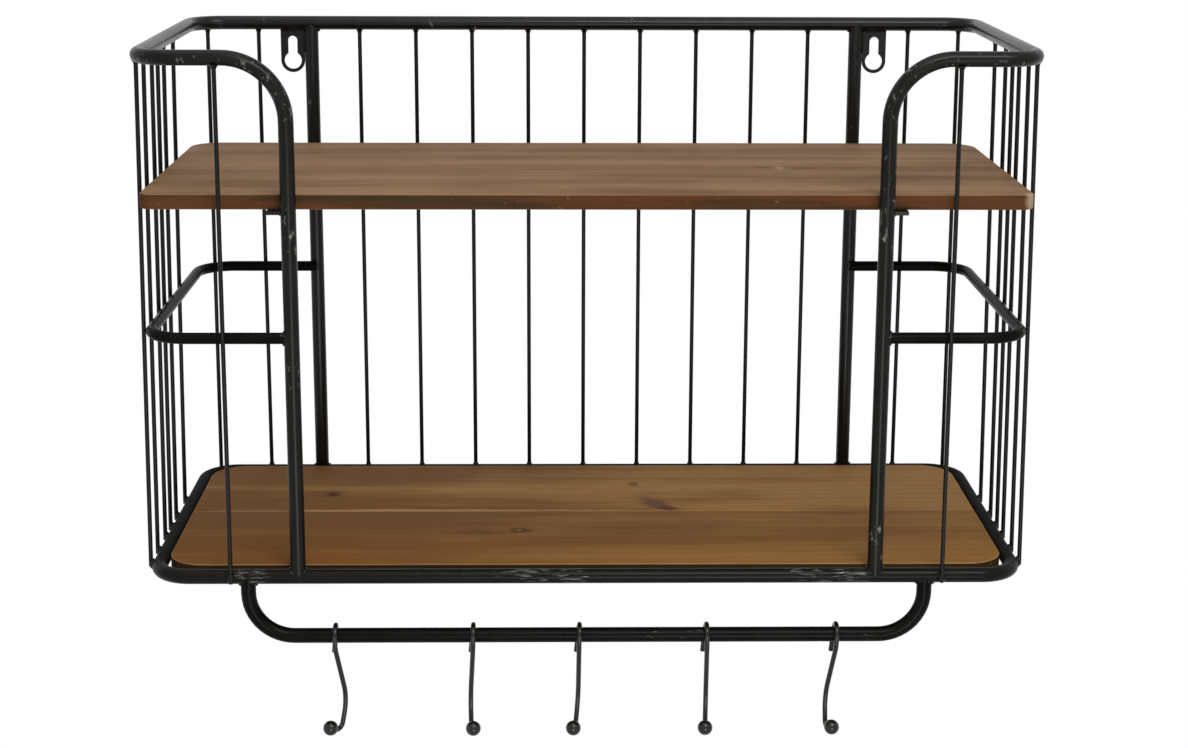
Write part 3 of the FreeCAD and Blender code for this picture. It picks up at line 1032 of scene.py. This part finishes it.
def screw_blank(name, shank_length):
    """A pan-head screw standing on its head, before its recess is cut."""
    profile = [(0.0, 0.0)]
    for step in range(1, DOME_STEPS + 1):
        angle = math.radians(90 * step / DOME_STEPS)
        rise = SCREW_HEAD_H * DOME_SHARE * (1 - math.cos(angle))
        profile.append((SCREW_HEAD_R * math.sin(angle) ** DOME_POWER, rise))
    profile += [(SCREW_HEAD_R, SCREW_HEAD_H), (SCREW_SHANK_R, SCREW_HEAD_H)]
    profile.append((SCREW_SHANK_R, SCREW_HEAD_H + shank_length * SCREW_TIP_FROM))
    profile.append((0.0, SCREW_HEAD_H + shank_length))
    build = bmesh.new()
    rings = []
    for radius, z in profile:
        places = [(radius * cosine, radius * sine, z) for cosine, sine in circle(SCREW_SIDES)]
        rings.append([build.verts.new(place) for place in (places if radius else places[:1])])
    for lower, upper in zip(rings, rings[1:]):
        for side in range(SCREW_SIDES):
            after = (side + 1) % SCREW_SIDES
            corners = [lower[side % len(lower)], lower[after % len(lower)]]
            corners += [upper[after % len(upper)], upper[side % len(upper)]]
            build.faces.new(list(dict.fromkeys(corners)))
    return built_mesh(name, build)


def recess_blades(name):
    """The two crossed blades that the recess in a head is cut with."""
    build = bmesh.new()
    blade = Matrix.Diagonal((SCREW_HEAD_R, RECESS_SHARE * SCREW_HEAD_R, SCREW_HEAD_H, 1))
    for turn in (0, 90):
        turned = Matrix.Rotation(math.radians(turn), 4, "Z") @ blade
        bmesh.ops.create_cube(build, size=1.0, matrix=turned)
    return built_mesh(name, build)


def screw_mesh(name, shank_length):
    """A screw with a cross recess in the underside of its head."""
    screw = bpy.data.objects.new(name + "_blank", screw_blank(name, shank_length))
    cutter = bpy.data.objects.new(name + "_cutter", recess_blades(name + "_recess"))
    for helper in (screw, cutter):
        bpy.context.scene.collection.objects.link(helper)
    recess = screw.modifiers.new("recess", "BOOLEAN")
    recess.operation = "DIFFERENCE"
    recess.object = cutter
    recess.use_self = True
    evaluated = screw.evaluated_get(bpy.context.evaluated_depsgraph_get())
    cut = bpy.data.meshes.new_from_object(evaluated)
    for helper in (screw, cutter):
        bpy.data.objects.remove(helper)
    return cut


def separate_forms(build):
    """The points of each form that hangs together in a mesh."""
    left = set(build.verts)
    forms = []
    while left:
        edge_of_form = [left.pop()]
        form = []
        while edge_of_form:
            vert = edge_of_form.pop()
            form.append(vert.co.copy())
            near = [edge.other_vert(vert) for edge in vert.link_edges]
            fresh = [other for other in near if other in left]
            left.difference_update(fresh)
            edge_of_form += fresh
        forms.append(form)
    return forms


def make_screws(node, material):
    """Every screw of the node, each where its solid stands."""
    solids = bmesh.new()
    solids.from_mesh(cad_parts[node].data)
    bmesh.ops.remove_doubles(solids, verts=solids.verts, dist=MERGE_DISTANCE)
    forms = sorted(separate_forms(solids), key=lambda form: tuple(min(form, key=tuple)))
    solids.free()
    low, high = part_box(node)
    shape = screw_mesh(node, high.z - low.z - SCREW_HEAD_H)
    build = bmesh.new()
    for points in forms:
        x = (min(point.x for point in points) + max(point.x for point in points)) / 2
        y = (min(point.y for point in points) + max(point.y for point in points)) / 2
        placed = shape.copy()
        placed.transform(Matrix.Translation((x, y, low.z)))
        build.from_mesh(placed)
        bpy.data.meshes.remove(placed)
    mesh = built_mesh(node + "_dressed", build)
    smooth(mesh, METAL_SHARP)
    piece = new_piece(node + "_dressed", mesh, material)
    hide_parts(node)


screw_material = screw_steel()
make_screws("upper_board_screws", screw_material)
make_screws("lower_board_screws", screw_material)


# Floor, world and lights
FLOOR_CENTRE = Vector((0, -0.15, -1.5))
FLOOR_RADIUS = 1.3
FLOOR_SIDES = 96
FLOOR_TONE = (0.9, 0.9, 0.9, 1.0)
FLOOR_WHITE = 0.7            # share of plain white in the floor, which leaves the shadow the rest
FADE_FROM = 0.5              # shares of the floor's radius between which it fades into the background
FADE_TO = 0.98
WORLD_LIGHT = 0.4
WHITE = (1, 1, 1, 1)


def background_rays(graph):
    """1 for the rays that should meet a white background: the camera's, reflected and transmitted ones."""
    path = graph.add("ShaderNodeLightPath")
    seen = graph.math("MAXIMUM", path.outputs["Is Camera Ray"], path.outputs["Is Glossy Ray"])
    return graph.math("MAXIMUM", seen, path.outputs["Is Transmission Ray"])


def floor_material():
    graph = new_graph("pale floor")
    x, y, _ = graph.position()
    away = graph.length(graph.minus(x, FLOOR_CENTRE.x), graph.minus(y, FLOOR_CENTRE.y))
    fade = graph.ease(away, FADE_FROM * FLOOR_RADIUS, FADE_TO * FLOOR_RADIUS)
    matte = graph.add("ShaderNodeBsdfDiffuse")
    graph.feed(matte.inputs["Color"], FLOOR_TONE)
    white = graph.add("ShaderNodeEmission")
    mixed = graph.add("ShaderNodeMixShader")
    graph.feed(mixed.inputs[0], graph.times(background_rays(graph), graph.scale(fade, FLOOR_WHITE, 1.0)))
    graph.feed(mixed.inputs[1], matte.outputs[0])
    graph.feed(mixed.inputs[2], white.outputs[0])
    return graph.close(mixed)


def make_floor():
    build = bmesh.new()
    place = Matrix.Translation(FLOOR_CENTRE)
    bmesh.ops.create_circle(build, cap_ends=True, segments=FLOOR_SIDES, radius=FLOOR_RADIUS, matrix=place)
    mesh = built_mesh("floor", build)
    mesh.materials.append(floor_material())
    floor = bpy.data.objects.new("floor", mesh)
    bpy.context.scene.collection.objects.link(floor)


def make_world():
    graph = Graph(bpy.data.worlds.new("studio"))
    background = graph.add("ShaderNodeBackground")
    graph.feed(background.inputs["Color"], WHITE)
    graph.feed(background.inputs["Strength"], graph.scale(background_rays(graph), WORLD_LIGHT, 1.0))
    bpy.context.scene.world = graph.close(background, "ShaderNodeOutputWorld")


def softbox(name, place, width, height, watts):
    """A rectangular light that faces the middle of the rack."""
    lamp = bpy.data.lights.new(name, "AREA")
    lamp.shape = "RECTANGLE"
    lamp.size = width
    lamp.size_y = height
    lamp.energy = watts
    light = bpy.data.objects.new(name, lamp)
    light.location = place
    light.rotation_euler = (rack_middle - Vector(place)).to_track_quat("-Z", "Y").to_euler()
    bpy.context.scene.collection.objects.link(light)


make_floor()
make_world()
softbox("key softbox", (0.4, -1.5, 1.2), width=1.1, height=0.42, watts=20)
softbox("overhead softbox", (-0.2, -0.5, 1.6), width=1.6, height=1.0, watts=6)
softbox("front softbox", (0.25, -2.3, -0.85), width=0.7, height=0.9, watts=14)


# Camera
PHOTO_WIDTH = 1188
FOCAL_PIXELS = 2119
AXIS_ABOVE_CENTRE = 74         # pixels from the frame's centre up to the lens axis
CAMERA_PLACE = Vector((-24.75, -1878.7, 209.25)) * MM
CAMERA_PITCH = math.radians(12.80)
CAMERA_YAW = math.radians(-1.05)
CAMERA_ROLL = math.radians(0.23)
SENSOR_WIDTH = 36


def make_camera():
    right = Vector((math.cos(CAMERA_YAW), math.sin(CAMERA_YAW), 0))
    forward = Vector((
        -math.sin(CAMERA_YAW) * math.cos(CAMERA_PITCH),
        math.cos(CAMERA_YAW) * math.cos(CAMERA_PITCH),
        -math.sin(CAMERA_PITCH),
    ))
    up = right.cross(forward)
    rolled_right = right * math.cos(CAMERA_ROLL) + up * math.sin(CAMERA_ROLL)
    rolled_up = up * math.cos(CAMERA_ROLL) - right * math.sin(CAMERA_ROLL)
    turn = Matrix((rolled_right, rolled_up, -forward)).transposed()
    lens = bpy.data.cameras.new("camera")
    lens.sensor_width = SENSOR_WIDTH
    lens.lens = SENSOR_WIDTH * FOCAL_PIXELS / PHOTO_WIDTH
    lens.shift_y = -AXIS_ABOVE_CENTRE / PHOTO_WIDTH
    camera = bpy.data.objects.new("camera", lens)
    camera.matrix_world = Matrix.Translation(CAMERA_PLACE) @ turn.to_4x4()
    bpy.context.scene.collection.objects.link(camera)
    bpy.context.scene.camera = camera


make_camera()
bpy.context.scene.view_settings.view_transform = "Standard"
